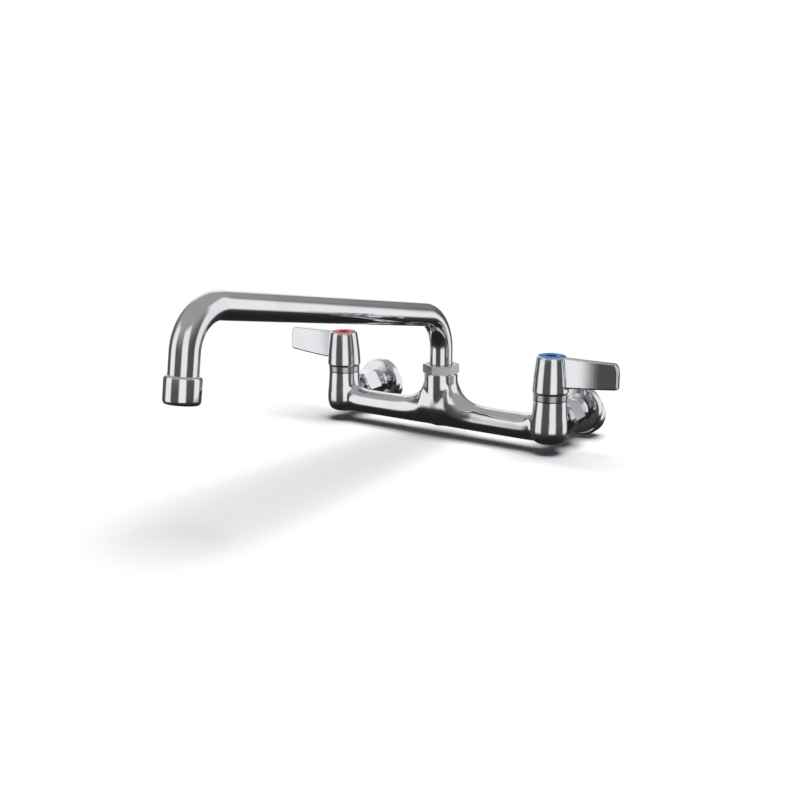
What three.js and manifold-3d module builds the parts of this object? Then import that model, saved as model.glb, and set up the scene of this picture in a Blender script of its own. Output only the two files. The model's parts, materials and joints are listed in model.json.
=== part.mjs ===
// Wall-mounted workboard faucet with two quarter-turn lever valves and a swinging tubular spout.
// Millimetres, +Z up, +X towards the cold side, +Y into the wall. The origin lies on the wall plane,
// midway between the two supply ports. Sub-parts are placed in a valve block group whose own origin
// is midway between the valve axes, level with the inlet arms.
import * as THREE from 'three';
import { mergeVertices } from 'three/addons/utils/BufferGeometryUtils.js';
import Module from 'manifold-3d';

const wasm = await Module();
wasm.setup();

// Driving dimensions
const valveSpacing = 203.2; // 8 inch centres
const spoutReach = 304.8; // 12 inch, spout axis to outlet
const spoutTubeRadius = 9.6;
const spoutTubeBore = 8.5;
const spoutRise = 9; // degrees that the spout's run climbs
const wallDistance = 73; // valve axes to the wall
const portOffset = 7; // eccentricity of each inlet
const portTurn = 12; // degrees that the eccentric is turned outwards
const gap = 0.3; // clearance between touching pieces
const roundSides = 24;
const smallSides = 14;

const valveX = valveSpacing / 2;
const portDrop = portOffset * Math.cos(THREE.MathUtils.degToRad(portTurn));
const portShift = portOffset * Math.sin(THREE.MathUtils.degToRad(portTurn));

// Finishes
const finishes = {
  chrome: { color: 0xd3d6da, roughness: 0.06, metalness: 1 },
  brass: { color: 0xb8954f, roughness: 0.32, metalness: 1 },
  steel: { color: 0x9a9da0, roughness: 0.28, metalness: 1 },
  ceramic: { color: 0xece9e2, roughness: 0.35, metalness: 0 },
  rubber: { color: 0x1c1c1d, roughness: 0.85, metalness: 0 },
  plastic: { color: 0xd9d9d4, roughness: 0.5, metalness: 0 },
  red: { color: 0xc4313a, roughness: 0.4, metalness: 0 },
  blue: { color: 0x2475bd, roughness: 0.4, metalness: 0 },
};

// Solids: geometry without doubled corners or empty triangles, and joins and cuts of such geometry

function solid(geometry) {
  const bare = geometry.index ? geometry.clone() : geometry;
  bare.deleteAttribute('normal');
  bare.deleteAttribute('uv');
  const merged = mergeVertices(bare, 1e-4);
  const corners = merged.index.array;
  const kept = [];
  for (let i = 0; i < corners.length; i += 3) {
    const [a, b, c] = corners.subarray(i, i + 3);
    if (a !== b && b !== c && c !== a) kept.push(a, b, c);
  }
  return new wasm.Manifold(new wasm.Mesh({
    numProp: 3,
    vertProperties: new Float32Array(merged.attributes.position.array),
    triVerts: new Uint32Array(kept),
  }));
}

function geometryOf(manifold) {
  const { vertProperties, triVerts } = manifold.getMesh();
  const geometry = new THREE.BufferGeometry();
  geometry.setAttribute('position', new THREE.BufferAttribute(new Float32Array(vertProperties), 3));
  geometry.setIndex(new THREE.BufferAttribute(new Uint32Array(triVerts), 1));
  return geometry;
}

function combine(operation, first, others) {
  let result = solid(first);
  for (const other of others) result = result[operation](solid(other));
  return geometryOf(result);
}

const join = (first, ...others) => combine('add', first, others);
const cut = (first, ...others) => combine('subtract', first, others);
const common = (first, ...others) => combine('intersect', first, others);

// A solid turned about +Z. The outline is a list of [radius, height], anticlockwise, and it either
// starts and ends on the axis or closes on itself.
function turned(outline, sides = roundSides) {
  const points = outline.map(([radius, height]) => new THREE.Vector2(radius, height));
  if (points[0].x > 0) points.push(points[0].clone());
  const geometry = new THREE.LatheGeometry(points, sides);
  return geometry.rotateX(Math.PI / 2);
}

function rod(radius, low, high, sides = roundSides) {
  return turned([[0, low], [radius, low], [radius, high], [0, high]], sides);
}

function ring(inner, outer, low, high, sides = roundSides) {
  return turned([[inner, low], [outer, low], [outer, high], [inner, high]], sides);
}

// A rubber ring of round section lying flat at a height
function roundRing(middle, section, height) {
  const outline = [];
  const cornerCount = 6;
  for (let i = 0; i < cornerCount; i += 1) {
    const angle = (2 * Math.PI * (i + 0.5)) / cornerCount;
    outline.push([middle + section * Math.cos(angle), height + section * Math.sin(angle)]);
  }
  return turned(outline, smallSides);
}

// A hexagonal prism along +Z with its two end edges chamfered, flats facing +X and -X
function hexBlank(acrossFlats, low, high, chamfer) {
  const corner = acrossFlats / Math.sqrt(3);
  const height = high - low;
  const prism = new THREE.CylinderGeometry(corner, corner, height, 6).rotateX(Math.PI / 2);
  prism.translate(0, 0, (low + high) / 2);
  const edge = corner - chamfer;
  return common(prism, turned([[0, low], [edge, low], [corner + 0.2, low + chamfer * 0.6],
    [corner + 0.2, high - chamfer * 0.6], [edge, high], [0, high]]));
}

// Turns a solid made along +Z so that it lies along +X or +Y
const alongX = (geometry) => geometry.rotateY(Math.PI / 2);
const alongY = (geometry) => geometry.rotateX(-Math.PI / 2);

function piece(name, geometry, finish) {
  const mesh = new THREE.Mesh(geometryOf(solid(geometry)), new THREE.MeshStandardMaterial(finishes[finish]));
  mesh.name = name;
  return mesh;
}

// Valve body casting: bar, two valve barrels, spout column and two inlet arms
const bar = { radius: 11, axis: -5.5, bottom: -16.5 };
const barrel = { top: 19.5, topRadius: 13.5, fullRadius: 15.3, bottom: -16, bore: 10.2, seat: -5.8 };
const column = { radius: 14, shoulder: 29, neckRadius: 12.6, top: 33.5, bore: 9.9, boreFloor: 8 };
const arm = { rootRadius: 13, neckRadius: 9.6, threadRadius: 11, threadY: 22, faceY: 31, bore: 5 };
const waterway = { height: -10.6, halfHeight: 3.8, halfWidth: 6.2, low: -14.4, riserRadius: 6.5, feedRadius: 5.5 };

// The bar's upper outline swells up the column and a little up each barrel
function barWeb() {
  const outline = new THREE.Shape();
  outline.moveTo(-valveX, bar.axis);
  outline.lineTo(-valveX, 12);
  outline.lineTo(12 - valveX, 12);
  outline.quadraticCurveTo(14 - valveX, 5.2, 24 - valveX, 5.2);
  outline.lineTo(-44, 5.2);
  outline.bezierCurveTo(-28, 6, -15, 11, -column.radius + 1, 24);
  outline.lineTo(column.radius - 1, 24);
  outline.bezierCurveTo(15, 11, 28, 6, 44, 5.2);
  outline.lineTo(valveX - 24, 5.2);
  outline.quadraticCurveTo(valveX - 14, 5.2, valveX - 12, 12);
  outline.lineTo(valveX, 12);
  outline.lineTo(valveX, bar.axis);
  outline.closePath();
  const halfWidth = 7;
  const web = new THREE.ExtrudeGeometry(outline, { depth: 2 * halfWidth, bevelEnabled: false, curveSegments: 4 });
  return web.rotateX(Math.PI / 2).translate(0, halfWidth, 0);
}

function barrelShape(x) {
  return turned([[0, barrel.bottom], [8.5, barrel.bottom], [12, -14.6], [14.2, -11.6], [barrel.fullRadius, -6],
    [15.1, 0], [14.2, 8], [barrel.topRadius, barrel.top - 1], [barrel.topRadius - 0.5, barrel.top],
    [0, barrel.top]]).translate(x, 0, 0);
}

function armShape(x) {
  return alongY(turned([[0, 0], [arm.rootRadius, 0], [arm.rootRadius, 6], [10.6, 12], [arm.neckRadius, 17],
    [arm.neckRadius, arm.threadY], [arm.threadRadius, arm.threadY], [arm.threadRadius, arm.faceY - 0.8],
    [arm.threadRadius - 0.8, arm.faceY], [0, arm.faceY]])).translate(x, 0, 0);
}

function bodyCasting() {
  const sides = [-valveX, valveX];
  const outside = join(
    alongX(rod(bar.radius, -valveX, valveX)).translate(0, 0, bar.axis),
    barWeb(),
    turned([[0, bar.bottom], [6, bar.bottom], [9.5, -14], [12, -8], [13.4, 0], [column.radius, 8],
      [column.radius, column.shoulder],
      [column.neckRadius, column.shoulder], [column.neckRadius, column.top - 0.8],
      [column.neckRadius - 0.8, column.top], [0, column.top]]),
    ...sides.map(barrelShape),
    ...sides.map(armShape),
  );
  const barPassage = new THREE.CylinderGeometry(waterway.halfWidth, waterway.halfWidth, 2 * valveX, smallSides);
  barPassage.rotateZ(Math.PI / 2).scale(1, 1, waterway.halfHeight / waterway.halfWidth);
  barPassage.translate(0, 0, waterway.height);
  const hollows = [
    barPassage,
    rod(waterway.riserRadius, waterway.low, column.boreFloor + 1, smallSides),
    rod(column.bore, column.boreFloor, column.top + 1),
  ];
  for (const x of sides) {
    hollows.push(rod(barrel.bore, barrel.seat, barrel.top + 1).translate(x, 0, 0));
    hollows.push(rod(waterway.feedRadius, waterway.low, barrel.seat + 1, smallSides).translate(x, 0, 0));
    hollows.push(alongY(rod(arm.bore, 4, arm.faceY + 1, smallSides)).translate(x, 0, 0));
  }
  return cut(outside, ...hollows);
}

// Spout nut, and the spout's turning end inside it
const nut = { low: column.shoulder + 0.8, high: column.shoulder + 8.3, acrossFlats: 26.8, lip: 35.9 };
const sleeve = { low: 10, high: 35.8, ringSlot: [33.6, 34.9], slotRadius: 8.9 };
const sealHeights = { lower: 17.3, upper: 24.3 };

function spoutNut() {
  return cut(hexBlank(nut.acrossFlats, nut.low, nut.high, 1.4),
    rod(column.neckRadius + gap, nut.low - 1, nut.lip), rod(spoutTubeRadius + gap, nut.lip - 1, nut.high + 1));
}

function spoutSleeve() {
  const outline = [[6.9, sleeve.low], [9, sleeve.low], [spoutTubeRadius, sleeve.low + 0.6]];
  for (const height of Object.values(sealHeights)) {
    const low = height - 1.3;
    const high = height + 1.3;
    outline.push([spoutTubeRadius, low], [8, low], [8, high], [spoutTubeRadius, high]);
  }
  const [slotLow, slotHigh] = sleeve.ringSlot;
  outline.push([spoutTubeRadius, slotLow], [sleeve.slotRadius, slotLow], [sleeve.slotRadius, slotHigh],
    [spoutTubeRadius, slotHigh], [spoutTubeRadius, sleeve.high], [8.2, sleeve.high], [8.2, 50], [6.9, 50]);
  return turned(outline, smallSides);
}

// A snap ring is a flat ring with a slot cut out of one side
function snapRing(inner, outer, low, high, slot) {
  const opening = new THREE.BoxGeometry(outer, slot, 4 * (high - low));
  return cut(ring(inner, outer, low, high, smallSides), opening.translate(outer * 0.75, 0, (low + high) / 2));
}

// Spout centreline in the plane X = 0, out towards -Y: up, a bend, a rising run, a bend and a short drop
const bendRadius = { root: 34, tip: 29 };
const run = { height: 78.8, outletHeight: 66, tubeStart: sleeve.high + gap };
const rise = THREE.MathUtils.degToRad(spoutRise);
const tipLength = (run.height - run.outletHeight + spoutReach * Math.tan(rise)) * Math.cos(rise);
const runLength = (spoutReach - tipLength * Math.sin(rise)) / Math.cos(rise);
const onRun = (distance) => new THREE.Vector3(0, -distance * Math.cos(rise), run.height + distance * Math.sin(rise));
const tipCorner = onRun(runLength);
const onTip = (distance) => new THREE.Vector3(0, tipCorner.y - distance * Math.sin(rise),
  tipCorner.z - distance * Math.cos(rise));
const aeratorLength = 17.4;

// A quarter or less of a circle that is tangent to both straight lengths it joins
class Bend extends THREE.Curve {
  constructor(centre, from, to) {
    super();
    this.centre = centre;
    this.from = from;
    this.to = to;
  }

  getPoint(t, target = new THREE.Vector3()) {
    const angle = this.from.angleTo(this.to);
    target.copy(this.from).multiplyScalar(Math.sin((1 - t) * angle) / Math.sin(angle));
    return target.addScaledVector(this.to, Math.sin(t * angle) / Math.sin(angle)).add(this.centre);
  }
}

function spoutPath() {
  const rootTangent = bendRadius.root * Math.tan((Math.PI / 2 - rise) / 2);
  const rootStart = new THREE.Vector3(0, 0, run.height - rootTangent);
  const rootEnd = onRun(rootTangent);
  const rootCentre = new THREE.Vector3(0, -bendRadius.root, rootStart.z);
  const tipStart = onRun(runLength - bendRadius.tip);
  const tipEnd = onTip(bendRadius.tip);
  const tipCentre = tipStart.clone().add(tipEnd).sub(tipCorner);
  const path = new THREE.CurvePath();
  path.add(new THREE.LineCurve3(new THREE.Vector3(0, 0, run.tubeStart), rootStart));
  path.add(new Bend(rootCentre, rootStart.clone().sub(rootCentre), rootEnd.clone().sub(rootCentre)));
  path.add(new THREE.LineCurve3(rootEnd, tipStart));
  path.add(new Bend(tipCentre, tipStart.clone().sub(tipCentre), tipEnd.clone().sub(tipCentre)));
  path.add(new THREE.LineCurve3(tipEnd, onTip(tipLength - aeratorLength + 1.5)));
  return path;
}

function spoutTube() {
  const section = new THREE.Shape().absarc(0, 0, spoutTubeRadius, 0, 2 * Math.PI, false);
  section.holes.push(new THREE.Path().absarc(0, 0, spoutTubeBore, 0, 2 * Math.PI, true));
  return new THREE.ExtrudeGeometry(section, { steps: 34, curveSegments: 7, extrudePath: spoutPath() });
}

// Aerator pieces are made along +Z from the outlet upwards and stand in a group at the spout's tip
function aeratorGroup() {
  const housing = turned([[8.2, 0], [10.4, 0], [11.2, 0.8], [11.75, 2.4], [11.75, 15.4], [11.4, 16.8],
    [10.6, aeratorLength], [9.9, aeratorLength], [9.9, 2.4], [8.2, 2.4]]);
  const holes = [];
  const holeCount = 8;
  for (let i = 0; i < holeCount; i += 1) {
    const angle = (2 * Math.PI * i) / holeCount;
    holes.push(rod(1.4, 0, 9, 8).translate(5.4 * Math.cos(angle), 5.4 * Math.sin(angle), 0));
  }
  const insert = cut(rod(9.4, 2.7, 6.7, smallSides), rod(1.6, 0, 9, 8), ...holes);
  const adapter = turned([[6.8, 9], [9.6, 9], [9.6, 15.6], [8.2, 15.6], [8.2, 25], [6.8, 25]], smallSides);
  const group = new THREE.Group();
  group.add(piece('aerator_housing', housing, 'chrome'));
  group.add(piece('aerator_insert', insert, 'plastic'));
  group.add(piece('aerator_washer', ring(7, 9.4, 7, 8.7, smallSides), 'rubber'));
  group.add(piece('spout_tip_adapter', adapter, 'brass'));
  group.position.copy(onTip(tipLength));
  group.rotation.x = -rise;
  return group;
}

// Lever handle, pointing away from the spout and swept towards -Y, with its underside open over the
// cartridge. The side is -1 for the hot lever and 1 for the cold one.
const lever = { reach: 57, low: 29.4, tipLow: 34.8, top: 55.2, thickness: 6.4, sweep: 1, hubLow: 25.5, hubTop: 55.6 };

function leverBlade(side) {
  const half = lever.thickness / 2;
  const tip = lever.reach * side;
  const plan = new THREE.Shape();
  plan.moveTo(6 * side, half);
  plan.quadraticCurveTo(34 * side, half, tip - side, half - lever.sweep);
  plan.lineTo(tip - side, -half - lever.sweep);
  plan.quadraticCurveTo(34 * side, -half - lever.sweep, 6 * side, -half);
  plan.closePath();
  const height = lever.top - lever.low;
  const strip = new THREE.ExtrudeGeometry(plan, { depth: height, bevelEnabled: false, curveSegments: 6 });
  strip.translate(0, 0, lever.low);
  const face = new THREE.Shape();
  const corner = 9;
  face.moveTo(4 * side, lever.low);
  face.lineTo(tip - side, lever.tipLow);
  face.lineTo(tip, lever.tipLow + 1);
  face.lineTo(tip, lever.top - corner);
  face.bezierCurveTo(tip, lever.top - corner * 0.45, tip - corner * 0.45 * side, lever.top,
    tip - corner * side, lever.top);
  face.lineTo(4 * side, lever.top);
  face.closePath();
  const mask = new THREE.ExtrudeGeometry(face, { depth: 60, bevelEnabled: false, curveSegments: 4 });
  return common(strip, mask.rotateX(Math.PI / 2).translate(0, 30, 0));
}

function leverHandle(side) {
  const hub = turned([[0, lever.hubLow], [14.3, lever.hubLow], [14.8, 27], [14.1, 38], [13.3, 44.5],
    [12.5, 50], [12, 54], [10.8, lever.hubTop], [0, lever.hubTop]]);
  return cut(join(hub, leverBlade(side)),
    rod(9.6, lever.hubLow - 1, 36), rod(4.2, 35, 47.5, 12), rod(2.2, 47, 51, smallSides),
    rod(4.4, 50, 54, smallSides), rod(10.5, 53.4, 57));
}

// Quarter-turn ceramic cartridge, from the seat in the casting up to the splined stem
const cartridge = { low: -3.5, top: 27, bodyRadius: 8.8, threadRadius: 9.9, bore: 7.6, neckBore: 4.3 };
const stem = { radius: 4, splineRadius: 3.9, top: 46.6 };

function cartridgeShell() {
  const shell = turned([[cartridge.bore, cartridge.low], [cartridge.bodyRadius, cartridge.low],
    [cartridge.bodyRadius, 9], [cartridge.threadRadius, 9], [cartridge.threadRadius, 19.4], [8.3, 19.4],
    [8.3, cartridge.top - 0.6], [7.7, cartridge.top], [cartridge.neckBore, cartridge.top],
    [cartridge.neckBore, 8.5], [cartridge.bore, 8.5]], smallSides);
  const windows = new THREE.BoxGeometry(7, 30, 4.4).translate(0, 0, 5.4);
  return cut(shell, windows);
}

function stemShape() {
  const spindle = turned([[0, 3.2], [6.6, 3.2], [6.6, 5.2], [3.2, 7.6], [stem.radius, 8], [stem.radius, 14],
    [2.9, 14], [2.9, 16.4], [stem.radius, 16.4], [stem.radius, 27.2], [3.2, 27.2], [3.2, 28.4],
    [stem.radius, 28.4], [stem.radius, 34.5], [stem.splineRadius, 35], [stem.splineRadius, stem.top],
    [0, stem.top]], 12);
  return cut(spindle, rod(1.9, 36, 48, 12));
}

function leverScrew() {
  const screw = turned([[0, 38], [1.5, 38], [1.5, 50.3], [3.9, 50.3], [3.9, 54.6], [3.2, 56.2], [0, 56.6]], smallSides);
  const slot = new THREE.BoxGeometry(5.2, 0.9, 3);
  return cut(screw, slot.clone().translate(0, 0, 56.6), slot.rotateZ(Math.PI / 2).translate(0, 0, 56.6));
}

// Inlet side: union nut, washer, eccentric inlet and wall flange, made along +Y from the arm's face
const union = { low: 20.5, high: 38.5, acrossFlats: 26.6, lipY: 36.3, lipBore: 9.2 };
const inlet = { collarY: 33.3, neck: 8.9, discY: 54, discBack: 62, discRadius: 20.4, bossRadius: 15 };
const port = { radius: 10.4, depth: 17.5 };
const flange = { front: 62.3, radius: 17.6 };

function unionNut() {
  const blank = alongY(hexBlank(union.acrossFlats, union.low, union.high, 1.2).rotateZ(Math.PI / 6));
  const thread = alongY(rod(arm.threadRadius + gap + 0.1, union.low - 1, union.lipY));
  return cut(blank, thread, alongY(rod(union.lipBore, union.lipY - 1, union.high + 1)));
}

function inletEccentric(side) {
  const front = alongY(turned([[0, inlet.collarY], [11.1, inlet.collarY], [11.1, union.lipY - gap],
    [inlet.neck, union.lipY - gap], [inlet.neck, inlet.discY - 2], [11, inlet.discY],
    [inlet.discRadius - 0.8, inlet.discY], [inlet.discRadius, inlet.discY + 0.8],
    [inlet.discRadius, inlet.discBack], [0, inlet.discBack]]));
  const atPort = (geometry) => geometry.translate(side * portShift, 0, -portDrop);
  const boss = atPort(alongY(rod(inlet.bossRadius, inlet.discBack - 2, wallDistance)));
  const passage = alongY(rod(6, inlet.collarY - 1, wallDistance - port.depth + 3, smallSides));
  const mouth = atPort(alongY(rod(port.radius, wallDistance - port.depth, wallDistance + 1, smallSides)));
  return cut(join(front, boss), passage, mouth);
}

function wallFlange(side) {
  const shape = turned([[inlet.bossRadius + gap, flange.front], [flange.radius - 1.2, flange.front],
    [flange.radius, flange.front + 1.2], [flange.radius, wallDistance],
    [inlet.bossRadius + gap, wallDistance]]);
  return alongY(shape).translate(side * portShift, 0, -portDrop);
}

function valveGroup(side, name) {
  const tint = { hot: 'red', cold: 'blue' }[name];
  const group = new THREE.Group();
  const parts = [
    ['seat_seal', ring(4.6, 7.2, barrel.seat + gap, cartridge.low + 0.2, smallSides), 'rubber'],
    ['fixed_disc', cut(rod(7.3, -3, 0, smallSides), discPort()), 'ceramic'],
    ['moving_disc', cut(rod(7.2, 0.3, 2.9, smallSides), discPort()), 'ceramic'],
    ['cartridge_shell', cartridgeShell(), 'brass'],
    ['bonnet_collar', ring(8.6, 13.4, barrel.top + gap, 25.2), 'chrome'],
    ['stem', stemShape(), 'brass'],
    ['stem_o_ring', roundRing(3.6, 0.55, 15.2), 'rubber'],
    ['stem_clip', snapRing(3.5, 6.4, 27.4, 28.2, 4), 'steel'],
    ['lever', leverHandle(side), 'chrome'],
    ['lever_screw', leverScrew(), 'chrome'],
    ['index_ring', ring(4.3, 10.2, 53.7, 55.9), tint],
    ['union_washer', alongY(ring(6, 10.7, arm.faceY + gap, inlet.collarY - gap, smallSides)), 'rubber'],
    ['union_nut', unionNut(), 'chrome'],
    ['inlet_eccentric', inletEccentric(side), 'chrome'],
    ['wall_flange', wallFlange(side), 'chrome'],
  ];
  for (const [part, geometry, finish] of parts) group.add(piece(`${name}_${part}`, geometry, finish));
  group.position.x = side * valveX;
  return group;
}

// The opening through each ceramic disc: half of the disc, less its rim
function discPort() {
  const opening = new THREE.Shape().absarc(0, 0, 5.2, 0.3, Math.PI - 0.3, false);
  return new THREE.ExtrudeGeometry(opening, { depth: 12, bevelEnabled: false, curveSegments: 8 }).translate(0, 0, -6);
}

const valveBlock = new THREE.Group();
valveBlock.position.set(0, -wallDistance, portDrop);
valveBlock.add(piece('body_casting', bodyCasting(), 'chrome'));
valveBlock.add(piece('spout_nut', spoutNut(), 'chrome'));
valveBlock.add(piece('spout_sleeve', spoutSleeve(), 'brass'));
valveBlock.add(piece('spout_tube', spoutTube(), 'chrome'));
valveBlock.add(piece('spout_snap_ring', snapRing(9.2, 12, 33.8, 34.7, 4), 'steel'));
valveBlock.add(piece('spout_glide_washer', ring(9.9, 12.3, 35, 35.6, smallSides), 'plastic'));
for (const [place, height] of Object.entries(sealHeights)) {
  valveBlock.add(piece(`spout_o_ring_${place}`, roundRing(8.95, 0.75, height), 'rubber'));
}
valveBlock.add(aeratorGroup());
valveBlock.add(valveGroup(-1, 'hot'));
valveBlock.add(valveGroup(1, 'cold'));

const faucet = new THREE.Group();
faucet.add(valveBlock);

export default faucet;
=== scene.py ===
import json
import math
import bmesh
import bpy
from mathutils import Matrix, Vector


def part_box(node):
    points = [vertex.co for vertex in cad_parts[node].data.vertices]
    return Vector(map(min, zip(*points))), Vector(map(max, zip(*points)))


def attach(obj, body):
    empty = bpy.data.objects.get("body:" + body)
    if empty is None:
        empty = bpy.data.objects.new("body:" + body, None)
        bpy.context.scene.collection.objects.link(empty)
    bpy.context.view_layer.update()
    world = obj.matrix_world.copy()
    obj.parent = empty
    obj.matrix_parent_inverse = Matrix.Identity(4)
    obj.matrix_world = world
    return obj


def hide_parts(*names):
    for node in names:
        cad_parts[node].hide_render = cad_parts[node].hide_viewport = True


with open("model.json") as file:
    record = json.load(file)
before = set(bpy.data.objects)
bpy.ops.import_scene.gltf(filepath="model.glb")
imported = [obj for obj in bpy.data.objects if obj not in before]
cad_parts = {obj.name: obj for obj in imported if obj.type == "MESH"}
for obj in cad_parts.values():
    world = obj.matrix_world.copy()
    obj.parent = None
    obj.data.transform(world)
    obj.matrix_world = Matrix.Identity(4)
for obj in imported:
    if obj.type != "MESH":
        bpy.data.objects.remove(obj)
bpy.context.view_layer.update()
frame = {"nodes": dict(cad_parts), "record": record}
nodes = frame["nodes"]
mm = 0.001
up = Vector((0, 0, 1))
toWall = Vector((0, 1, 0))


def middle(node):
    low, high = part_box(node)
    return (low + high) / 2


spoutNut = {
    "acrossFlats": 26.8, "low": 29.8, "high": 37.3, "chamfer": 1.3, "radius": 0.35,
    "bore": [(0, 20), (12.9, 20), (12.9, 35.9), (9.95, 35.9), (9.95, 50), (0, 50)],
}

# The valve block's own origin is level with the inlet arms, midway between the valves
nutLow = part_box("spout_nut")[0]
blockOrigin = Vector((0, middle("spout_nut").y, nutLow.z - spoutNut["low"] * mm))
valveX = middle("cold_lever_screw").x
wallPort = middle("cold_wall_flange") - blockOrigin - valveX * Vector((1, 0, 0))
sides = {"hot": -1, "cold": 1}


def inBlock(x, y, z):  # a point given in millimetres from the block's origin
    return blockOrigin + Vector((x, y, z)) * mm


def valveAxis(side):
    return blockOrigin + Vector((side * valveX, 0, 0))


def solo(obj):
    bpy.ops.object.select_all(action="DESELECT")
    obj.select_set(True)
    bpy.context.view_layer.objects.active = obj
    return obj


def settle(obj):  # leaves the object at the origin, with its place in its mesh
    solo(obj)
    bpy.ops.object.transform_apply(location=True, rotation=True, scale=True)
    return obj


def editing(obj):
    solo(obj)
    bpy.ops.object.mode_set(mode="EDIT")
    bpy.ops.mesh.select_all(action="SELECT")


def doneEditing():
    bpy.ops.object.mode_set(mode="OBJECT")


def pick(kind, test):  # in edit mode, selects what passes a test of its middle
    mesh = bmesh.from_edit_mesh(bpy.context.edit_object.data)
    bpy.ops.mesh.select_mode(type=kind)
    bpy.ops.mesh.select_all(action="DESELECT")
    for item in {"VERT": mesh.verts, "EDGE": mesh.edges, "FACE": mesh.faces}[kind]:
        corners = [item] if kind == "VERT" else list(item.verts)
        spots = [corner.co for corner in corners]
        item.select_set(test(sum(spots, Vector()) / len(spots), spots))
    mesh.select_flush_mode()
    bmesh.update_edit_mesh(bpy.context.edit_object.data)


def finishWith(obj, kind, **settings):  # adds a modifier and applies it
    solo(obj)
    modifier = obj.modifiers.new(kind.title(), kind)
    for name, value in settings.items():
        setattr(modifier, name, value)
    bpy.ops.object.modifier_apply(modifier=modifier.name)
    return obj


def combine(obj, other, operation):
    finishWith(obj, "BOOLEAN", operation=operation, object=other, solver="MANIFOLD")
    bpy.data.objects.remove(other)
    return obj


def joinUp(name, parts):
    solo(parts[0])
    for part in parts:
        part.select_set(True)
    bpy.ops.object.join()
    parts[0].name = name
    return settle(parts[0])


def tidyMesh():  # in edit mode
    bpy.ops.mesh.select_all(action="SELECT")
    bpy.ops.mesh.remove_doubles(threshold=2e-6)
    bpy.ops.mesh.normals_make_consistent(inside=False)


def smoothed(obj, angle=32):
    solo(obj)
    bpy.ops.object.shade_smooth_by_angle(angle=math.radians(angle))
    return obj


def rounded(obj, width, segments=3, angle=28):  # small radius on every hard edge
    smoothed(obj, angle)
    finishWith(obj, "BEVEL", width=width * mm, segments=segments, limit_method="ANGLE",
               angle_limit=math.radians(angle), harden_normals=True, miter_outer="MITER_ARC")
    return obj


# Spins an outline of (radius, distance along the axis), in millimetres, into a solid
def turned(name, outline, centre, axis=up, steps=72):
    axis = axis.normalized()
    outward = axis.orthogonal().normalized()
    points = [centre + (outward * radius + axis * along) * mm for radius, along in outline]
    bpy.ops.object.select_all(action="DESELECT")
    bpy.ops.mesh.primitive_plane_add(size=4 * mm, location=points[0])
    obj = bpy.context.active_object
    obj.name = name
    editing(obj)
    bpy.ops.mesh.merge(type="CENTER")
    stops = points[1:] if outline[0][0] < 0.01 else points[1:] + points[:1]
    here = points[0]
    for stop in stops:
        bpy.ops.mesh.extrude_region_move(TRANSFORM_OT_translate={"value": stop - here})
        here = stop
    bpy.ops.mesh.select_all(action="SELECT")
    bpy.ops.mesh.remove_doubles(threshold=2e-6)
    bpy.ops.mesh.spin(steps=steps, angle=2 * math.pi, center=centre, axis=axis)
    tidyMesh()
    doneEditing()
    return settle(obj)


# A hexagonal bar with both end edges chamfered: upright it has flats facing +X and -X, and lying along Y
# it has flats on top and below
def hexBlank(name, acrossFlats, low, high, chamfer, centre, axis=up):
    corner = acrossFlats / math.sqrt(3)
    turn = (0, 0, 0) if axis == up else (-math.pi / 2, math.pi / 6, 0)
    bpy.ops.object.select_all(action="DESELECT")
    bpy.ops.mesh.primitive_cylinder_add(vertices=6, radius=corner * mm, depth=(high - low) * mm,
                                        location=centre + axis * ((low + high) / 2 * mm), rotation=turn)
    blank = settle(bpy.context.active_object)
    blank.name = name
    edge = corner - chamfer
    drop = chamfer * 0.62
    envelope = turned("chamfers", [(0, low), (edge, low), (corner + 0.3, low + drop),
                                   (corner + 0.3, high - drop), (edge, high), (0, high)], centre, axis, 96)
    return combine(blank, envelope, "INTERSECT")


def finishPiece(obj, body, slot, material, *replaced):
    obj.data.materials.clear()
    obj.data.materials.append(material)
    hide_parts(*replaced)
    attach(obj, body)
    return obj


class Socket:  # one output of a node, with operators that add Math nodes
    def __init__(self, tree, output=None):
        self.tree = tree
        self.output = output

    def node(self, kind, settings=None, sockets=None, out=0):
        made = self.tree.nodes.new(kind)
        for name, value in (settings or {}).items():
            if name == "stops":
                ramp = made.color_ramp
                while len(ramp.elements) < len(value):
                    ramp.elements.new(0.5)
                for element, (place, colour) in zip(ramp.elements, value):
                    element.position = place
                    element.color = (*colour, 1)
            else:
                setattr(made, name, value)
        for name, value in (sockets or {}).items():
            if isinstance(value, Socket):
                self.tree.links.new(value.output, made.inputs[name])
            else:
                made.inputs[name].default_value = value
        return Socket(self.tree, made.outputs[out])

    def maths(self, operation, first, second=0.0):
        return self.node("ShaderNodeMath", {"operation": operation}, {0: first, 1: second})

    def __add__(self, other):
        return self.maths("ADD", self, other)

    def __radd__(self, other):
        return self.maths("ADD", other, self)

    def __sub__(self, other):
        return self.maths("SUBTRACT", self, other)

    def __rsub__(self, other):
        return self.maths("SUBTRACT", other, self)

    def __mul__(self, other):
        return self.maths("MULTIPLY", self, other)

    def __rmul__(self, other):
        return self.maths("MULTIPLY", other, self)

    def mixColours(self, first, second):  # this socket is the share of the second colour
        return self.node("ShaderNodeMix", {"data_type": "RGBA"}, {0: self, 6: first, 7: second}, 2)

    def step(self, low, high):  # eases from 0 to 1 between two values
        return self.node("ShaderNodeMapRange", {"interpolation_type": "SMOOTHSTEP"},
                         {"Value": self, "From Min": low, "From Max": high, "To Min": 0.0, "To Max": 1.0})


def newMaterial(name):
    material = bpy.data.materials.new(name)
    material.use_nodes = True
    material.node_tree.nodes.clear()
    start = Socket(material.node_tree)
    place = start.node("ShaderNodeTexCoord", out="Object")
    return material, start, place


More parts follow.
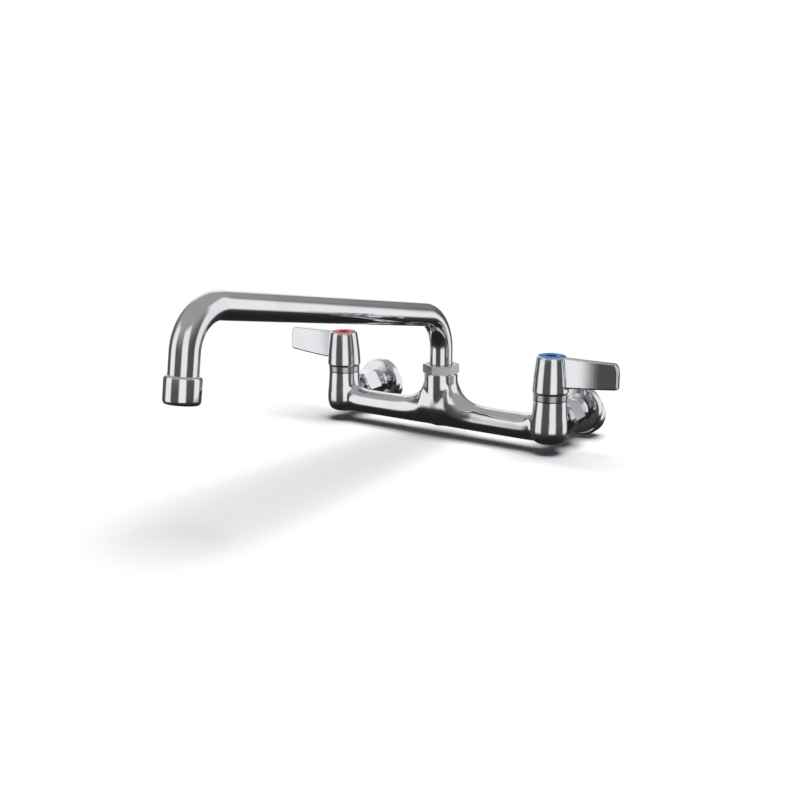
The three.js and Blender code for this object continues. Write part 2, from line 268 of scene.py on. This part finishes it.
def surface(material, start, sockets):
    shader = start.node("ShaderNodeBsdfPrincipled", None, sockets)
    output = material.node_tree.nodes.new("ShaderNodeOutputMaterial")
    material.node_tree.links.new(shader.output, output.inputs["Surface"])
    return material


def noise(place, scale, detail=2.0, stretch=None):
    if stretch:
        place = place.node("ShaderNodeMapping", None, {"Vector": place, "Scale": stretch})
    return place.node("ShaderNodeTexNoise", None, {"Vector": place, "Scale": scale, "Detail": detail})


def bump(height, distance):
    return height.node("ShaderNodeBump", None, {"Height": height, "Distance": distance, "Strength": 1.0})


chromeSettings = {
    "clear": (0.80, 0.81, 0.83), "dull": (0.70, 0.71, 0.735),
    "roughness": 0.035, "smudge": 0.05, "scratch": 0.02,
}


# Bright nickel-chrome plate. The grain is the way that the piece was polished, waves are what the casting
# or the bending left under the plate, and satin adds roughness. Depth scales the plate's colour; below 1 it is
# painted shade, a darker copy of the chrome.
def chromePlate(name, grain, waves, waveDepth, satin=0.0, depth=1.0):
    material, start, place = newMaterial(name)
    smudge = noise(place, 26, 4.0).step(0.42, 0.72)
    lines = noise(place, 90, 3.0, grain)
    fine = noise(place, 420, 2.0)
    cloud = noise(place, 55, 3.0)
    clear, dull = [(*[value * depth for value in chromeSettings[key]], 1) for key in ("clear", "dull")]
    colour = (smudge * 0.55 + cloud * 0.25).mixColours(clear, dull)
    rough = (chromeSettings["roughness"] + satin + smudge * chromeSettings["smudge"]
             + lines * chromeSettings["scratch"])
    height = noise(place, waves, 1.0) + lines * 0.03 + fine * 0.02
    return surface(material, start, {"Base Color": colour, "Metallic": 1.0, "Roughness": rough,
                                     "Normal": bump(height, waveDepth)})


def turnedMetal(name, bright, dark, roughness, lineScale):
    material, start, place = newMaterial(name)
    lines = noise(place, lineScale, 3.0, (1, 1, 14))
    stain = noise(place, 70, 4.0).step(0.4, 0.75)
    pits = noise(place, 900, 2.0)
    colour = (stain * 0.6 + lines * 0.3).mixColours((*bright, 1), (*dark, 1))
    rough = roughness + lines * 0.12 + stain * 0.1
    return surface(material, start, {"Base Color": colour, "Metallic": 1.0, "Roughness": rough,
                                     "Normal": bump(lines + pits * 0.3, 0.00003)})


def ceramicDisc(name):
    material, start, place = newMaterial(name)
    speck = noise(place, 1400, 3.0).step(0.6, 0.72)
    cloud = noise(place, 160, 3.0)
    colour = (speck * 0.3 + cloud * 0.3).mixColours((0.88, 0.86, 0.82, 1), (0.66, 0.64, 0.60, 1))
    return surface(material, start, {"Base Color": colour, "Roughness": 0.16 + cloud * 0.16,
                                     "Normal": bump(speck, 0.00001), "Specular IOR Level": 0.6})


def rubberSeal(name):
    material, start, place = newMaterial(name)
    grain = noise(place, 1600, 3.0)
    bloom = noise(place, 120, 4.0).step(0.45, 0.8)
    colour = bloom.mixColours((0.012, 0.012, 0.013, 1), (0.05, 0.05, 0.052, 1))
    return surface(material, start, {"Base Color": colour, "Roughness": 0.5 + grain * 0.25 + bloom * 0.15,
                                     "Normal": bump(grain, 0.00004)})


def mouldedPlastic(name, colour, deep, roughness=0.32):
    material, start, place = newMaterial(name)
    grain = noise(place, 1100, 2.0)
    flow = noise(place, 130, 3.0)
    shade = (flow * 0.7 + grain * 0.2).mixColours((*colour, 1), (*deep, 1))
    return surface(material, start, {"Base Color": shade, "Roughness": roughness + flow * 0.14 + grain * 0.06,
                                     "Normal": bump(grain * 0.6 + flow, 0.00002), "Specular IOR Level": 0.5})


finishes = {
    "chrome_body": chromePlate("castChrome", (8, 22, 22), 34, 0.00005),
    "chrome_spout": chromePlate("tubeChrome", (30, 3, 30), 22, 0.00002),
    "chrome_lever": chromePlate("leverChrome", (10, 30, 30), 48, 0.00004),
    "chrome_trim": chromePlate("trimChrome", (5, 40, 40), 30, 0.00001),
    # Satin chrome: the added roughness is the real satin finish, and the colour scaled to 0.66 is painted shade, a
    # darker copy of the chrome.
    "chrome_satin": chromePlate("satinChromePaintedShade", (6, 6, 40), 30, 0.00001, 0.17, 0.66),
    "brass": turnedMetal("turnedBrass", (0.72, 0.50, 0.21), (0.48, 0.32, 0.13), 0.2, 240),
    "steel": turnedMetal("springSteel", (0.56, 0.57, 0.58), (0.40, 0.405, 0.41), 0.2, 320),
    "ceramic": ceramicDisc("ceramic"),
    "rubber": rubberSeal("sealRubber"),
    "white_plastic": mouldedPlastic("whitePlastic", (0.74, 0.74, 0.71), (0.62, 0.62, 0.60), 0.4),
    "red_index": mouldedPlastic("redIndex", (0.52, 0.035, 0.045), (0.40, 0.02, 0.03)),
    "blue_index": mouldedPlastic("blueIndex", (0.012, 0.15, 0.40), (0.008, 0.10, 0.30)),
}
print("finishes made")

# Valve body casting. Outlines are (radius, distance along the axis) in millimetres.
castBody = {
    "voxel": 1.25, "smoothing": 14,
    "barSections": [  # distance from the column, half width, top height
        (101.6, 9.5, 9), (90, 10.4, 11), (87.5, 10.8, 8.3), (84, 11, 6.5), (78, 11, 5.3), (60, 11, 5.0),
        (44, 11, 5.2), (34, 11.1, 6), (28, 11.4, 7.6), (23, 11.9, 10), (19.5, 12.4, 12.9),
        (16.4, 13, 16), (14.2, 13.5, 20), (13, 13.8, 24)],
    "barBottom": -16.5,
    "barrel": [(0, -16.2), (8.5, -16.2), (12.2, -14.7), (14.4, -11.6), (15.5, -6), (15.3, 0), (14.4, 8),
               (13.7, 19), (13.6, 24), (0, 24)],
    "column": [(0, -16.2), (6, -16), (9.6, -13.6), (12.1, -8), (13.6, 0), (14.2, 8), (14.2, 34), (0, 34)],
    "arm": [(0, 0), (13.2, 0), (13.2, 6), (10.8, 12), (9.8, 17), (9.7, 26), (0, 26)],
    "columnBore": [(0, -14.4), (6.5, -14.4), (6.5, 8), (9.9, 8), (9.9, 29), (20, 29), (20, 44), (0, 44)],
    "barrelBore": [(0, -14.4), (5.5, -14.4), (5.5, -5.8), (10.2, -5.8), (10.2, 19.5), (20, 19.5), (20, 34),
                   (0, 34)],
    "armBore": [(0, 4), (5, 4), (5, 21), (18, 21), (18, 40), (0, 40)],
    "neck": [(9.9, 28.5), (12.6, 28.5), (12.6, 33), (12.1, 33.5), (9.9, 33.5)],
    "threadStart": [(5, 20.6), (9.6, 20.6), (9.6, 22)],
    "threadTurn": [(11, 22.4), (11, 22.9), (10.1, 23.6)],
    "threadEnd": [(10.1, 31), (5, 31)],
    "threadTurns": 5, "threadPitch": 1.7,
    "passageHeight": -10.6, "passage": [(0, -101.6), (3.9, -101.6), (3.9, 101.6), (0, 101.6)],
}


def barBlank():
    low = castBody["barBottom"]
    sections = castBody["barSections"]
    stations = [(-x, half, top) for x, half, top in sections] + [(x, half, top) for x, half, top in sections[::-1]]
    x, half, top = stations[0]
    bpy.ops.object.select_all(action="DESELECT")
    bpy.ops.mesh.primitive_circle_add(vertices=48, radius=half * mm, fill_type="NGON",
                                      location=inBlock(x, 0, low + half), rotation=(0, math.pi / 2, 0))
    bar = settle(bpy.context.active_object)
    editing(bar)
    tall = half
    for nextX, nextHalf, nextTop in stations:
        nextTall = (nextTop - low) / 2
        move = Vector((nextX - x, 0, nextTall - tall)) * mm
        if nextX != x:
            bpy.ops.mesh.extrude_region_move(TRANSFORM_OT_translate={"value": move})
        else:
            bpy.ops.transform.translate(value=move)
        bpy.ops.transform.resize(value=(1, nextHalf / half, nextTall / tall),
                                 center_override=inBlock(nextX, 0, low + nextTall))
        x, half, tall = nextX, nextHalf, nextTall
    tidyMesh()
    doneEditing()
    return bar


def bodyCasting():
    parts = [barBlank(), turned("column", castBody["column"], blockOrigin)]
    for side in sides.values():
        axis = valveAxis(side)
        parts.append(turned("barrel", castBody["barrel"], axis))
        parts.append(turned("arm", castBody["arm"], axis, toWall))
    casting = joinUp("cast_body", parts)
    finishWith(casting, "REMESH", mode="VOXEL", voxel_size=castBody["voxel"] * mm)
    finishWith(casting, "SMOOTH", factor=0.5, iterations=castBody["smoothing"])
    finishWith(casting, "SUBSURF", levels=1, render_levels=1)
    machineBody(casting)
    return smoothed(casting, 38)


# Bores and flat faces, and then the threaded ends that stand on them
def machineBody(casting):
    turnings = [turned("columnBore", castBody["columnBore"], blockOrigin)]
    arms = []
    threads = [turned("neck", castBody["neck"], blockOrigin)]
    ridges = [(radius, along + castBody["threadPitch"] * turn)
              for turn in range(castBody["threadTurns"]) for radius, along in castBody["threadTurn"]]
    for side in sides.values():
        axis = valveAxis(side)
        turnings.append(turned("barrelBore", castBody["barrelBore"], axis))
        arms.append(turned("armBore", castBody["armBore"], axis, toWall))
        threads.append(turned("armThread", castBody["threadStart"] + ridges + castBody["threadEnd"], axis, toWall))
    combine(casting, joinUp("bores", turnings), "DIFFERENCE")
    combine(casting, joinUp("armBores", arms), "DIFFERENCE")
    passage = turned("passage", castBody["passage"], inBlock(0, 0, castBody["passageHeight"]),
                     Vector((1, 0, 0)), 24)
    combine(casting, passage, "DIFFERENCE")
    combine(casting, joinUp("threads", threads), "UNION")


finishPiece(bodyCasting(), "faucet_body", "chrome_body", finishes["chrome_body"], "body_casting")
print("valve body casting made")

# Spout: nut, bent tube and aerator
spout = {
    "radius": 9.6, "wall": 1.1, "base": 36.1, "rise": math.radians(9), "runHeight": 78.8, "reach": 304.8,
    "outlet": 66.0, "rootBend": 34.0, "tipBend": 29.0, "insideAerator": 15.9, "around": 72, "bendSteps": 36,
}


def makeSpoutNut():
    size = spoutNut
    nut = hexBlank("spout_nut_fine", size["acrossFlats"], size["low"], size["high"], size["chamfer"], blockOrigin)
    combine(nut, turned("bore", size["bore"], blockOrigin, up, 96), "DIFFERENCE")
    return rounded(nut, size["radius"], 2)


# The straight lengths of the centreline, in the plane of the spout
rise = spout["rise"]
alongRun = Vector((0, -math.cos(rise), math.sin(rise)))
alongTip = Vector((0, -math.sin(rise), -math.cos(rise)))
tipLength = (spout["runHeight"] - spout["outlet"] + spout["reach"] * math.tan(rise)) * math.cos(rise)
runLength = (spout["reach"] - tipLength * math.sin(rise)) / math.cos(rise)
elbow = inBlock(0, 0, spout["runHeight"])
tipCorner = elbow + alongRun * runLength * mm
outlet = tipCorner + alongTip * tipLength * mm


def spoutTube():
    rootTangent = spout["rootBend"] * math.tan((math.pi / 2 - rise) / 2)
    rootStart = elbow - up * rootTangent * mm
    rootEnd = elbow + alongRun * rootTangent * mm
    tipStart = tipCorner - alongRun * spout["tipBend"] * mm
    tipEnd = tipCorner + alongTip * spout["tipBend"] * mm
    tubeEnd = outlet - alongTip * spout["insideAerator"] * mm
    base = inBlock(0, 0, spout["base"])
    bpy.ops.object.select_all(action="DESELECT")
    bpy.ops.mesh.primitive_circle_add(vertices=spout["around"], radius=spout["radius"] * mm, location=base)
    tube = settle(bpy.context.active_object)
    tube.name = "spout_tube_fine"
    editing(tube)
    sweep = {"steps": spout["bendSteps"], "axis": (-1, 0, 0)}
    bpy.ops.mesh.extrude_region_move(TRANSFORM_OT_translate={"value": rootStart - base})
    bpy.ops.mesh.spin(angle=math.pi / 2 - rise, center=rootStart - toWall * spout["rootBend"] * mm, **sweep)
    bpy.ops.mesh.extrude_region_move(TRANSFORM_OT_translate={"value": tipStart - rootEnd})
    bpy.ops.mesh.spin(angle=math.pi / 2, center=tipStart + alongTip * spout["tipBend"] * mm, **sweep)
    bpy.ops.mesh.extrude_region_move(TRANSFORM_OT_translate={"value": tubeEnd - tipEnd})
    tidyMesh()
    doneEditing()
    finishWith(tube, "SOLIDIFY", thickness=spout["wall"] * mm, offset=-1)
    return smoothed(tube, 40)


aerator = {
    "housing": [(8.2, 0), (10.2, 0), (11.0, 0.5), (11.5, 1.4), (11.75, 2.8), (11.75, 15.2), (11.5, 16.4),
                (10.7, 17.2), (9.9, 17.4), (9.9, 2.4), (8.2, 2.4)],
    "insert": [(0, 2.7), (9.4, 2.7), (9.4, 6.7), (8.6, 6.7), (8.6, 4.6), (0, 4.6)],
    "holeRings": [(3.4, 0.62, 8), (5.4, 0.78, 12), (7.3, 0.62, 18)],  # ring radius, hole radius, count
    "middleHole": 1.2, "drillDepth": 9,
}


def drilling(radius, spot, axis, steps):
    depth = aerator["drillDepth"]
    return turned("hole", [(0, 0), (radius, 0), (radius, depth), (0, depth)], spot, axis, steps)


def aeratorHousing():
    housing = turned("aerator_housing_fine", aerator["housing"], outlet, -alongTip, 96)
    return rounded(housing, 0.3)


# A flow former: rings of holes round a middle one, under a raised rim
def aeratorInsert():
    axis = -alongTip
    insert = turned("aerator_insert_fine", aerator["insert"], outlet, axis, 64)
    out = axis.orthogonal().normalized()
    across = axis.cross(out)
    holes = []
    for ringRadius, holeRadius, count in aerator["holeRings"]:
        for index in range(count):
            angle = 2 * math.pi * index / count
            spot = outlet + (out * math.cos(angle) + across * math.sin(angle)) * ringRadius * mm
            holes.append(drilling(holeRadius, spot, axis, 10))
    holes.append(drilling(aerator["middleHole"], outlet, axis, 16))
    combine(insert, joinUp("holes", holes), "DIFFERENCE")
    return smoothed(insert, 30)


finishPiece(makeSpoutNut(), "faucet_body", "chrome_trim", finishes["chrome_satin"], "spout_nut")
finishPiece(spoutTube(), "spout", "chrome_spout", finishes["chrome_spout"], "spout_tube")
finishPiece(aeratorHousing(), "spout", "chrome_trim", finishes["chrome_trim"], "aerator_housing")
finishPiece(aeratorInsert(), "spout", "white_plastic", finishes["white_plastic"], "aerator_insert")
print("spout made")

# Lever handles, with their index rings and screws
lever = {
    "hub": [(0, 25.5), (13.9, 25.5), (14.7, 26.2), (14.8, 27.4), (14.45, 32), (14.1, 38), (13.3, 44.5), (12.6, 50),
            (12.1, 53.6), (11.6, 55), (10.8, 55.6), (0, 55.6)],
    "bladeLow": 29.4, "tipLow": 34.8, "bladeTop": 55.2, "reach": 57.0, "thickness": 6.2, "sweep": 1.0, "bow": 1.1,
    "root": 4, "corner": 9.0, "tipEdge": 1.4, "edge": 0.9, "cuts": range(8, 56, 3), "voxel": 0.5, "smoothing": 5,
    "inside": [(0, 20), (9.6, 20), (9.6, 36), (4.2, 36), (4.2, 47.5), (2.2, 47.5), (2.2, 50), (4.4, 50),
               (4.4, 53.4), (10.5, 53.4), (10.5, 60), (0, 60)],
}


def bladeMiddle(x):  # how far the blade lies forward at a distance from the hub's axis
    along = max(0.0, (x - 10) / (lever["reach"] - 10))
    return -lever["sweep"] * along - lever["bow"] * math.sin(math.pi * along)


def leverBlade(axis, side):
    low, high, root, reach = [lever[key] for key in ("bladeLow", "bladeTop", "root", "reach")]
    bpy.ops.object.select_all(action="DESELECT")
    spot = axis + Vector((side * (root + reach) / 2, 0, (low + high) / 2)) * mm
    bpy.ops.mesh.primitive_cube_add(size=1, location=spot,
                                    scale=Vector((reach - root, lever["thickness"], high - low)) * mm)
    blade = settle(bpy.context.active_object)
    editing(blade)
    for x in lever["cuts"]:
        bpy.ops.mesh.select_all(action="SELECT")
        bpy.ops.mesh.bisect(plane_co=axis + Vector((side * x * mm, 0, 0)), plane_no=(1, 0, 0))
    tipX = axis.x + side * reach * mm
    topZ = axis.z + high * mm
    lowZ = axis.z + low * mm
    pick("EDGE", lambda mid, spots: all(abs(s.x - tipX) < 1e-5 and abs(s.z - topZ) < 1e-5 for s in spots))
    bpy.ops.mesh.bevel(offset=lever["corner"] * mm, segments=10, affect="EDGES")
    pick("EDGE", lambda mid, spots: all(abs(s.x - tipX) < 1e-5 and abs(s.z - lowZ) < 1e-5 for s in spots))
    bpy.ops.mesh.bevel(offset=lever["tipEdge"] * mm, segments=4, affect="EDGES")
    stations = sorted({round(v.co.x, 6) for v in bmesh.from_edit_mesh(blade.data).verts})
    for x in stations:
        shift = bladeMiddle(abs(x - axis.x) / mm) * mm
        pick("VERT", lambda mid, spots: abs(mid.x - x) < 2e-6)
        bpy.ops.transform.translate(value=(0, shift, 0))
        climb = (lever["tipLow"] - low) * min(1.0, abs(x - axis.x) / mm / reach) * mm
        pick("VERT", lambda mid, spots: abs(mid.x - x) < 2e-6 and mid.z < lowZ + 2 * mm)
        bpy.ops.transform.translate(value=(0, 0, climb))
    tidyMesh()
    doneEditing()
    return finishWith(blade, "BEVEL", width=lever["edge"] * mm, segments=3, limit_method="ANGLE",
                      angle_limit=math.radians(40))


def leverHandle(name, side):
    axis = valveAxis(side)
    handle = combine(turned(name, lever["hub"], axis, up, 96), leverBlade(axis, side), "UNION")
    finishWith(handle, "REMESH", mode="VOXEL", voxel_size=lever["voxel"] * mm)
    finishWith(handle, "SMOOTH", factor=0.5, iterations=lever["smoothing"])
    combine(handle, turned("inside", lever["inside"], axis, up, 96), "DIFFERENCE")
    return smoothed(handle, 38)


indexRing = [(4.3, 53.7), (10.2, 53.7), (10.2, 55.3), (9.6, 55.8), (8.8, 55.9), (5.6, 55.7), (4.3, 55.3)]
screwShape = [(0, 38), (1.5, 38), (1.5, 50.3), (3.9, 50.3), (3.9, 53.6), (3.4, 54.2), (2.2, 54.5), (0, 54.6)]
screwSlot = (5.0, 0.9, 2.4)


def leverScrew(name, axis):
    screw = turned(name, screwShape, axis, up, 48)
    for turn in (0, math.pi / 2):
        bpy.ops.object.select_all(action="DESELECT")
        bpy.ops.mesh.primitive_cube_add(size=1, location=axis + up * screwShape[-1][1] * mm,
                                        rotation=(0, 0, turn), scale=Vector(screwSlot) * mm)
        combine(screw, settle(bpy.context.active_object), "DIFFERENCE")
    return rounded(screw, 0.15, 2)


for word, side in sides.items():
    body = word + "_handle"
    axis = valveAxis(side)
    finishPiece(leverHandle(word + "_lever_fine", side), body, "chrome_lever", finishes["chrome_lever"],
                word + "_lever")
    tint = {"hot": "red_index", "cold": "blue_index"}[word]
    disc = rounded(turned(word + "_index_ring_fine", indexRing, axis, up, 96), 0.2, 2)
    finishPiece(disc, body, tint, finishes[tint], word + "_index_ring")
    finishPiece(leverScrew(word + "_lever_screw_fine", axis), body, "chrome_trim", finishes["chrome_trim"],
                word + "_lever_screw")
print("lever handles made")

# Bonnet collars, union nuts, eccentric inlets and wall flanges
inletSide = {
    "collar": [(8.6, 19.8), (13.3, 19.8), (13.7, 20.2), (13.7, 24.8), (13.3, 25.2), (8.6, 25.2)],
    "nut": {"acrossFlats": 26.6, "low": 20.5, "high": 38.5, "chamfer": 1.3},
    "nutBore": [(0, 10), (11.4, 10), (11.4, 36.3), (9.2, 36.3), (9.2, 50), (0, 50)],
    "front": [(0, 33.3), (11.1, 33.3), (11.1, 36), (8.9, 36), (8.9, 50.5), (9.3, 52.4), (10.8, 53.7), (12.6, 54),
              (18.8, 54), (19.9, 54.4), (20.4, 55.4), (20.4, 62), (0, 62)],
    "boss": [(0, 60), (15, 60), (15, 73), (0, 73)],
    "passage": [(0, 30), (6, 30), (6, 58.5), (0, 58.5)],
    "port": [(0, 55.5), (9.1, 55.5), (9.1, 57), (10.4, 58), (10.4, 72.2), (11, 73), (11, 80), (0, 80)],
    "flange": [(15.3, 62.3), (16.2, 62.3), (17.2, 62.8), (17.6, 63.9), (17.6, 73), (15.3, 73)],
}


def eccentricInlet(name, axis, portAxis):
    front = turned(name, inletSide["front"], axis, toWall, 96)
    combine(front, turned("boss", inletSide["boss"], portAxis, toWall, 96), "UNION")
    combine(front, turned("passage", inletSide["passage"], axis, toWall, 48), "DIFFERENCE")
    combine(front, turned("port", inletSide["port"], portAxis, toWall, 72), "DIFFERENCE")
    return rounded(front, 0.25, 2)


def unionNut(name, axis):
    size = inletSide["nut"]
    nut = hexBlank(name, size["acrossFlats"], size["low"], size["high"], size["chamfer"], axis, toWall)
    combine(nut, turned("nutBore", inletSide["nutBore"], axis, toWall, 96), "DIFFERENCE")
    return rounded(nut, 0.35, 2)


for word, side in sides.items():
    axis = valveAxis(side)
    portAxis = axis + Vector((side * wallPort.x, 0, wallPort.z))
    collar = turned(word + "_bonnet_collar_fine", inletSide["collar"], axis, up, 96)
    made = {
        "bonnet_collar": rounded(collar, 0.2, 2),
        "union_nut": unionNut(word + "_union_nut_fine", axis),
        "inlet_eccentric": eccentricInlet(word + "_inlet_eccentric_fine", axis, portAxis),
        "wall_flange": rounded(turned(word + "_wall_flange_fine", inletSide["flange"], portAxis, toWall, 96),
                               0.2, 2),
    }
    for part, obj in made.items():
        finish = "chrome_satin" if part == "bonnet_collar" else "chrome_trim"
        finishPiece(obj, "faucet_body", "chrome_trim", finishes[finish], word + "_" + part)
print("inlets made")

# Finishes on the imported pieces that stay
slotOf = {part["node"]: part["material_slot"] for part in frame["record"]["subparts"]}
for name, obj in nodes.items():
    if not obj.hide_render:
        obj.data.materials.clear()
        obj.data.materials.append(finishes[slotOf[name]])
print("inner pieces finished")

# Floor, light and camera
studio = {
    "floor": -0.0177, "floorSize": 60.0, "floorShade": 0.86,
    "keyStrength": 3.52, "keyAngle": 43, "keyFrom": (0.13, 0.04, 1.0), "ambient": (0.04, 0.045, 0.06),
    "cameraAt": (0.4345, -0.8067, 0.2225), "azimuth": 32.976, "elevation": 13.848, "lens": 46.116,
}

bpy.ops.object.select_all(action="DESELECT")
bpy.ops.mesh.primitive_plane_add(size=studio["floorSize"], location=(0, 0, studio["floor"]))
floor = settle(bpy.context.active_object)
floor.name = "floor"
floor.visible_glossy = False
floorPaint, start, place = newMaterial("floorPaint")
shade = studio["floorShade"]
tone = noise(place, 3.0).mixColours((shade, shade, shade, 1), (shade * 1.02, shade * 1.02, shade * 1.02, 1))
surface(floorPaint, start, {"Base Color": tone, "Roughness": 1.0, "Specular IOR Level": 0.0})
floor.data.materials.append(floorPaint)

bpy.ops.object.light_add(type="SUN", location=(0, 0, 2))
key = bpy.context.active_object
key.name = "key"
key.data.energy = studio["keyStrength"]
key.data.angle = math.radians(studio["keyAngle"])
key.rotation_euler = Vector(studio["keyFrom"]).to_track_quat("Z", "Y").to_euler()
key.visible_glossy = False

azimuth = math.radians(studio["azimuth"])
elevation = math.radians(studio["elevation"])
back = Vector((math.sin(azimuth) * math.cos(elevation), -math.cos(azimuth) * math.cos(elevation),
               math.sin(elevation)))
bpy.ops.object.camera_add(location=studio["cameraAt"], rotation=back.to_track_quat("Z", "Y").to_euler())
camera = bpy.context.active_object
camera.data.lens = studio["lens"]
camera.data.sensor_width = 36
camera.data.clip_end = 100
bpy.context.scene.camera = camera

# What the chrome sees: a plain grey room, dark below and light above, with four equal white soft boxes, one at
# each corner. Azimuth 0 is the front and 90 the cold side.
room = {"floor": 0.02, "walls": 0.1, "ceiling": 0.4}
softBox = {"corners": (-135, -45, 45, 135), "halfWide": 20, "elevation": 10, "halfTall": 30, "soft": 6,
           "light": 1.0}


def grey(value):
    return (value, value, value, 1)


world = bpy.data.worlds.new("studio")
world.use_nodes = True
world.node_tree.nodes.clear()
bpy.context.scene.world = world
sky = Socket(world.node_tree)
direction = sky.node("ShaderNodeTexCoord", out="Generated")
parts = [sky.node("ShaderNodeSeparateXYZ", None, {0: direction}, axis) for axis in range(3)]
degrees = 180 / math.pi
around = sky.maths("ARCTAN2", parts[0], parts[1] * -1) * degrees
height = sky.maths("ARCSINE", parts[2]) * degrees
colour = height.step(-45, 0).mixColours(grey(room["floor"]), grey(room["walls"]))
colour = height.step(0, 45).mixColours(colour, grey(room["ceiling"]))
wide, tall, soft = softBox["halfWide"], softBox["halfTall"], softBox["soft"]
above = sky.maths("ABSOLUTE", height - softBox["elevation"])
for corner in softBox["corners"]:
    turnedTo = sky.node("ShaderNodeMath", {"operation": "WRAP"}, {0: around - corner, 1: 180.0, 2: -180.0})
    across = sky.maths("ABSOLUTE", turnedTo)
    share = (1 - across.step(wide - soft, wide + soft)) * (1 - above.step(tall - soft, tall + soft))
    colour = share.mixColours(colour, grey(softBox["light"]))
ray = sky.node("ShaderNodeLightPath", out="Is Glossy Ray")
seen = sky.node("ShaderNodeLightPath", out="Is Camera Ray")
plain = seen.mixColours((*studio["ambient"], 1), (1, 1, 1, 1))
light = sky.node("ShaderNodeBackground", None, {"Color": ray.mixColours(plain, colour), "Strength": 1.0})
output = world.node_tree.nodes.new("ShaderNodeOutputWorld")
world.node_tree.links.new(light.output, output.inputs["Surface"])
bpy.context.scene.view_settings.view_transform = "Standard"
print("studio made")

bpy.context.view_layer.update()
